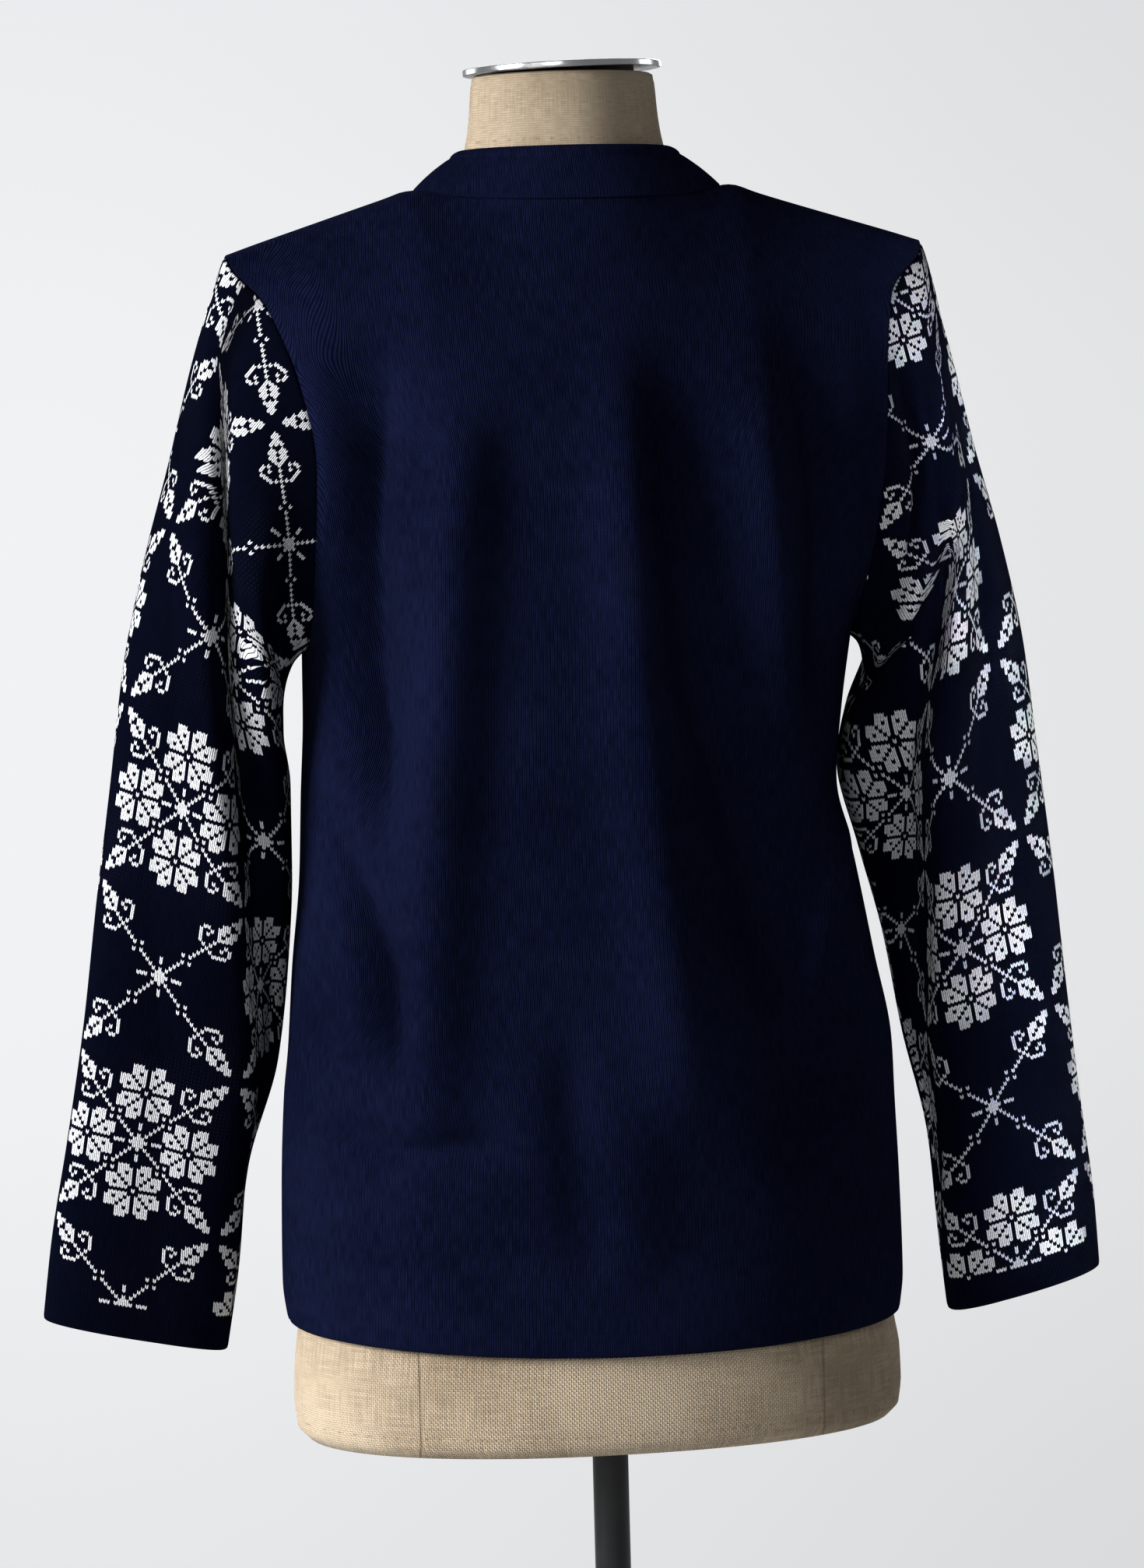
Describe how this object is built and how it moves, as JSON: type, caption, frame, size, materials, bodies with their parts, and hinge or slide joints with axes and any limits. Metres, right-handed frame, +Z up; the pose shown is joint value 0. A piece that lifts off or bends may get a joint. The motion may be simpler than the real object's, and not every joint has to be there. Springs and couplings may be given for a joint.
{
  "type": "knit cardigan on a dress form with stand",
  "caption": "Long-sleeved knit cardigan with a rounded neckband and a buttoned front, worn by a limbless dress form on a pole with a round base.",
  "frame": {"origin": "on the underside of the round base, under the pole's axis", "axes": "+Z up along the pole, -Y towards the cardigan's buttoned front, +X towards the wearer's left"},
  "size_m": [0.633, 0.3574, 1.5734],
  "materials": {
    "navy_knit": "fine vertical rib knit, matt",
    "jacquard_knit": "jacquard knit, navy with white motifs, matt",
    "button": "semi-gloss",
    "linen": "plain weave linen, matt",
    "chrome": "polished",
    "black_steel": "satin black"
  },
  "bodies": {
    "root": {"back_panel": "navy_knit", "front_left": "navy_knit", "front_right": "navy_knit", "sleeve_left": "jacquard_knit", "sleeve_right": "jacquard_knit", "neckband": "navy_knit", "button_band_right": "navy_knit", "button_band_left": "navy_knit", "button_1": "button", "button_2": "button", "button_3": "button", "button_4": "button", "button_5": "button", "button_6": "button", "button_7": "button", "dress_form": "linen", "neck_cap": "chrome", "pole": "black_steel", "base_plate": "black_steel"}
  },
  "joints": []
}
